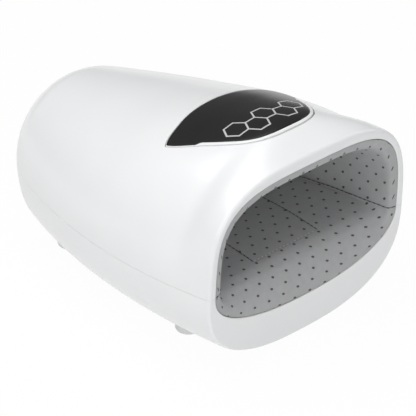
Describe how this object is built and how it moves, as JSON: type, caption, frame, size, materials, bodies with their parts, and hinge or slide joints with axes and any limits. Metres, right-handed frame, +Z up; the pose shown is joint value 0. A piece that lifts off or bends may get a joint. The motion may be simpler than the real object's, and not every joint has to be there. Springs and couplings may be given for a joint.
{
  "type": "hand massager",
  "caption": "Compression hand massager: white housing with a wide fabric-lined mouth, raised hand bed, dark touch panel on its domed top, inner air pump and rubber feet.",
  "frame": {"origin": "middle of the bounding box on the plane the feet stand on", "axes": "+X to the object's right seen from its mouth's side, +Y from the mouth to the closed back, +Z up"},
  "size_m": [0.1688, 0.2154, 0.1341],
  "materials": {
    "white_gloss": "gloss",
    "black_gloss": "gloss",
    "grey_fabric": "matte",
    "foot_rubber": "matte",
    "soft_rubber": "matte",
    "inner_plastic": "satin",
    "bladder_film": "satin",
    "heater_film": "satin",
    "steel": "satin",
    "circuit_board": "satin",
    "battery_wrap": "satin",
    "silicone_tube": "satin"
  },
  "bodies": {
    "housing": {"top_cover": "white_gloss", "bottom_cover": "white_gloss", "panel_frame": "white_gloss", "control_panel": "black_gloss", "touch_board": "circuit_board", "lining_sleeve": "grey_fabric", "clamp_ring": "inner_plastic", "upper_air_cell": "bladder_film", "tunnel_shell": "inner_plastic", "heating_pad": "heater_film", "bump_plate": "inner_plastic", "lower_air_cell": "bladder_film", "bed_tray": "inner_plastic", "pump_motor": "steel", "pump_base": "inner_plastic", "pump_diaphragm": "soft_rubber", "pump_cap": "inner_plastic", "pump_cradle": "soft_rubber", "air_manifold": "inner_plastic", "valve_body_left": "steel", "valve_body_right": "steel", "pump_hose": "silicone_tube", "upper_hose": "silicone_tube", "lower_hose": "silicone_tube", "battery_tray": "inner_plastic", "battery_pack": "battery_wrap", "main_board": "circuit_board", "charge_socket": "steel", "foot_front_left": "foot_rubber", "foot_front_right": "foot_rubber", "foot_rear_left": "foot_rubber", "foot_rear_right": "foot_rubber"},
    "crank": {"pump_crank": "steel"},
    "yoke": {"pump_yoke": "inner_plastic"},
    "plunger_left": {"valve_plunger_left": "steel"},
    "plunger_right": {"valve_plunger_right": "steel"}
  },
  "joints": [
    {"name": "crank_spin", "type": "hinge", "parent": "housing", "child": "crank", "pos_m": [-0.0052, 0.07678, 0.032], "axis": [1, 0, 0], "continuous": true},
    {"name": "yoke_rock", "type": "hinge", "parent": "housing", "child": "yoke", "pos_m": [0.005, 0.07678, 0.032], "axis": [0, 1, 0], "range_deg": [-3, 3], "stiffness_Nm_per_rad": 0.02},
    {"name": "valve_left_lift", "type": "slide", "parent": "housing", "child": "plunger_left", "axis": [0, 0, 1], "range_m": [0, 0.0012], "stiffness_N_per_m": 120, "springref_m": -0.002},
    {"name": "valve_right_lift", "type": "slide", "parent": "housing", "child": "plunger_right", "axis": [0, 0, 1], "range_m": [0, 0.0012], "stiffness_N_per_m": 120, "springref_m": -0.002}
  ]
}
